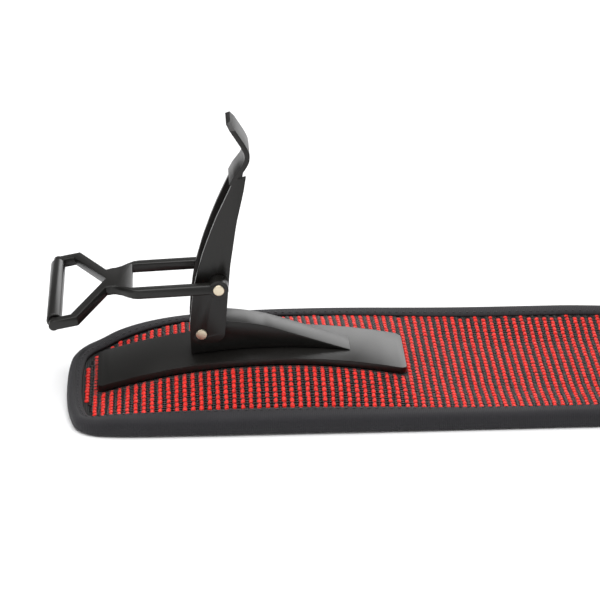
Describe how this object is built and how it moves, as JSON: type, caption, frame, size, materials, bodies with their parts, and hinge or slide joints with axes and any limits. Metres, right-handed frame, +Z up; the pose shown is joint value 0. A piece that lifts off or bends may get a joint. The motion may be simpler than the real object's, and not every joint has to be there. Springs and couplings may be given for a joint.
{
  "type": "climbing skin",
  "caption": "Woven ski climbing skin with bound edges and an over-centre lever and bail that tension it at the ski's tip.",
  "frame": {"origin": "centre of the bottom of the whole object's bounding box, on the surface that the skin lies on", "axes": "+X runs along the skin from its tip end to the roll of its remaining length, +Y across the skin, +Z up from the ski side to the traction side"},
  "size_m": [0.3446, 0.1002, 0.1142],
  "materials": {
    "traction_fabric": "coarse woven traction fabric, red floats on a black ground",
    "backing_film": "smooth coated black backing",
    "binding_tape": "ribbed charcoal woven tape",
    "satin_black": "satin black anodised aluminium",
    "nickel_rivets": "satin nickel-plated rivet, slightly warm",
    "steel": "plain stainless steel"
  },
  "bodies": {
    "skin": {"sole_fabric": "traction_fabric", "backing_fabric": "backing_film", "edge_binding": "binding_tape", "rolled_length": "traction_fabric", "tail_strap": "binding_tape", "tail_hook": "steel", "tail_rivet_near": "nickel_rivets", "tail_rivet_far": "nickel_rivets", "base_plate": "satin_black", "under_plate": "steel", "ramp_block": "satin_black", "plate_screw_front_near": "steel", "plate_screw_front_far": "steel", "plate_screw_rear_near": "steel", "plate_screw_rear_far": "steel", "block_screw_front": "steel", "block_screw_rear": "steel"},
    "lever": {"lever": "satin_black", "lever_pin": "nickel_rivets"},
    "bail_rivets": {"bail_rivet_near": "nickel_rivets", "bail_rivet_far": "nickel_rivets"},
    "bail": {"bail_frame": "satin_black"},
    "sleeve": {"bar_sleeve": "satin_black"}
  },
  "joints": [
    {"name": "lever_pivot", "type": "hinge", "parent": "skin", "child": "lever", "pos_m": [-0.11173, 0, 0.0245], "axis": [0, 1, 0], "range_deg": [-30, 80]},
    {"name": "bail_rivet_turn", "type": "hinge", "parent": "lever", "child": "bail_rivets", "pos_m": [-0.10473, 0, 0.0467], "axis": [0, 1, 0], "range_deg": [-80, 30]},
    {"name": "bail_swing", "type": "hinge", "parent": "bail_rivets", "child": "bail", "pos_m": [-0.10473, 0, 0.0467], "axis": [0, 1, 0], "range_deg": [-4, 50]},
    {"name": "sleeve_spin", "type": "hinge", "parent": "bail", "child": "sleeve", "pos_m": [-0.16927, 0, 0.04046], "axis": [0, 1, 0], "continuous": true}
  ],
  "couplings": [
    {"joint": "bail_rivet_turn", "follows": "lever_pivot", "ratio": -1}
  ]
}
